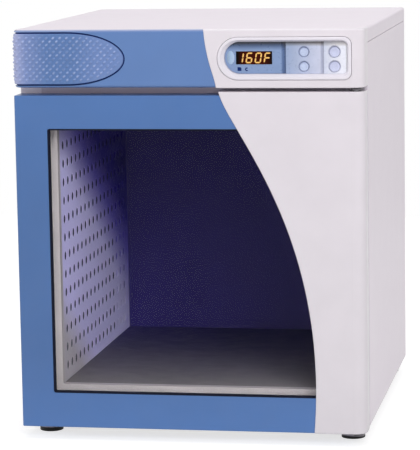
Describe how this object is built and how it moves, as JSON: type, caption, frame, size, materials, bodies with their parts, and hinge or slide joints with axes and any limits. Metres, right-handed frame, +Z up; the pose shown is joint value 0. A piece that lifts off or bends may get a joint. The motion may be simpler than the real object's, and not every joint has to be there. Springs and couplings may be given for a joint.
{
  "type": "blanket warming cabinet",
  "caption": "Counter-top warming cabinet: white casing on levelling feet, blue and white hinged glass door, header with a textured grip pad and a digital control panel.",
  "frame": {"origin": "on the floor, under the middle of the cabinet's overall box", "axes": "+X to the right of somebody facing the door, +Y to the back of the cabinet, +Z up"},
  "size_m": [0.6127, 0.693, 0.722],
  "materials": {
    "white_powder_coat": "satin",
    "warm_grey_frame": "satin",
    "liner_enamel": "matte",
    "duct_enamel": "matte",
    "stainless_sheet": "satin",
    "galvanised_sheet": "satin",
    "mineral_wool": "matte",
    "motor_steel": "satin",
    "impeller_aluminium": "satin",
    "black_plastic": "satin",
    "supply_case": "satin",
    "relay_body": "satin",
    "cable_sheath": "satin",
    "blue_moulding": "satin",
    "white_moulding": "satin",
    "grip_rubber": "satin",
    "bezel_plastic": "satin",
    "display_blue": "satin",
    "key_panel_blue": "satin",
    "smoked_lens": "gloss",
    "amber_figures": "gloss",
    "indicator_blue": "gloss",
    "board_green": "satin",
    "glass": "gloss",
    "black_rubber": "matte",
    "bushing_nylon": "satin",
    "bracket_steel": "satin",
    "foot_plastic": "satin",
    "screw_steel": "satin"
  },
  "bodies": {
    "casing": {"base_pan": "white_powder_coat", "casing_screws": "screw_steel", "ceiling_panel": "liner_enamel", "chamber_liner": "liner_enamel", "control_bezel": "bezel_plastic", "control_board": "board_green", "display_digits": "amber_figures", "display_lens": "smoked_lens", "display_module": "black_plastic", "display_panel": "display_blue", "duct_panel_left": "duct_enamel", "duct_panel_right": "duct_enamel", "electronics_tray": "galvanised_sheet", "fan_motor": "motor_steel", "foot_lock_rings": "foot_plastic", "front_frame": "warm_grey_frame", "grip_pad": "grip_rubber", "header_cover": "white_moulding", "header_shell": "blue_moulding", "heater_relay": "relay_body", "heating_element": "motor_steel", "hinge_bracket_lower": "bracket_steel", "hinge_bracket_upper": "bracket_steel", "hinge_pins": "motor_steel", "indicator_lens": "indicator_blue", "insulation_floor": "mineral_wool", "insulation_left": "mineral_wool", "insulation_rear": "mineral_wool", "insulation_right": "mineral_wool", "insulation_top": "mineral_wool", "key_panel": "key_panel_blue", "key_switches": "black_plastic", "limit_thermostat": "black_plastic", "power_inlet": "black_plastic", "power_supply": "supply_case", "rear_panel": "white_powder_coat", "side_panel_left": "white_powder_coat", "side_panel_right": "white_powder_coat", "temperature_probe": "motor_steel", "top_cover": "white_powder_coat", "wiring_loom": "cable_sheath"},
    "door": {"door_skin": "blue_moulding", "door_cover": "white_moulding", "glass_pane": "glass", "glazing_gasket": "black_rubber", "door_pan": "stainless_sheet", "door_gasket": "black_rubber", "door_bushings": "bushing_nylon"},
    "fan_rotor": {"fan_shaft": "motor_steel", "fan_impeller": "impeller_aluminium"},
    "rocker": {"rocker_switch": "black_plastic"},
    "drawer": {"fuse_drawer": "black_plastic"},
    "key_upper_left": {"key_upper_left": "key_panel_blue"},
    "key_lower_left": {"key_lower_left": "key_panel_blue"},
    "key_upper_right": {"key_upper_right": "key_panel_blue"},
    "key_lower_right": {"key_lower_right": "key_panel_blue"},
    "foot_front_left": {"foot_front_left": "foot_plastic"},
    "foot_front_right": {"foot_front_right": "foot_plastic"},
    "foot_rear_left": {"foot_rear_left": "foot_plastic"},
    "foot_rear_right": {"foot_rear_right": "foot_plastic"}
  },
  "joints": [
    {"name": "door_hinge", "type": "hinge", "parent": "casing", "child": "door", "pos_m": [0.29, -0.3275, 0.316], "axis": [0, 0, 1], "range_deg": [0, 120]},
    {"name": "fan_spin", "type": "hinge", "parent": "casing", "child": "fan_rotor", "pos_m": [0, -0.0105, 0.6], "axis": [0, 0, 1], "continuous": true},
    {"name": "power_rocker", "type": "hinge", "parent": "casing", "child": "rocker", "pos_m": [0.228, 0.338, 0.662], "axis": [-1, 0, 0], "range_deg": [0, 16]},
    {"name": "fuse_drawer_slide", "type": "slide", "parent": "casing", "child": "drawer", "axis": [0, 1, 0], "range_m": [0, 0.022]},
    {"name": "key_upper_left_press", "type": "slide", "parent": "casing", "child": "key_upper_left", "axis": [0, 1, 0], "range_m": [0, 0.0012], "stiffness_N_per_m": 1200},
    {"name": "key_lower_left_press", "type": "slide", "parent": "casing", "child": "key_lower_left", "axis": [0, 1, 0], "range_m": [0, 0.0012], "stiffness_N_per_m": 1200},
    {"name": "key_upper_right_press", "type": "slide", "parent": "casing", "child": "key_upper_right", "axis": [0, 1, 0], "range_m": [0, 0.0012], "stiffness_N_per_m": 1200},
    {"name": "key_lower_right_press", "type": "slide", "parent": "casing", "child": "key_lower_right", "axis": [0, 1, 0], "range_m": [0, 0.0012], "stiffness_N_per_m": 1200},
    {"name": "foot_front_left_turn", "type": "hinge", "parent": "casing", "child": "foot_front_left", "pos_m": [-0.273, -0.2635, 0], "axis": [0, 0, 1], "continuous": true},
    {"name": "foot_front_right_turn", "type": "hinge", "parent": "casing", "child": "foot_front_right", "pos_m": [0.273, -0.2635, 0], "axis": [0, 0, 1], "continuous": true},
    {"name": "foot_rear_left_turn", "type": "hinge", "parent": "casing", "child": "foot_rear_left", "pos_m": [-0.273, 0.3125, 0], "axis": [0, 0, 1], "continuous": true},
    {"name": "foot_rear_right_turn", "type": "hinge", "parent": "casing", "child": "foot_rear_right", "pos_m": [0.273, 0.3125, 0], "axis": [0, 0, 1], "continuous": true}
  ]
}
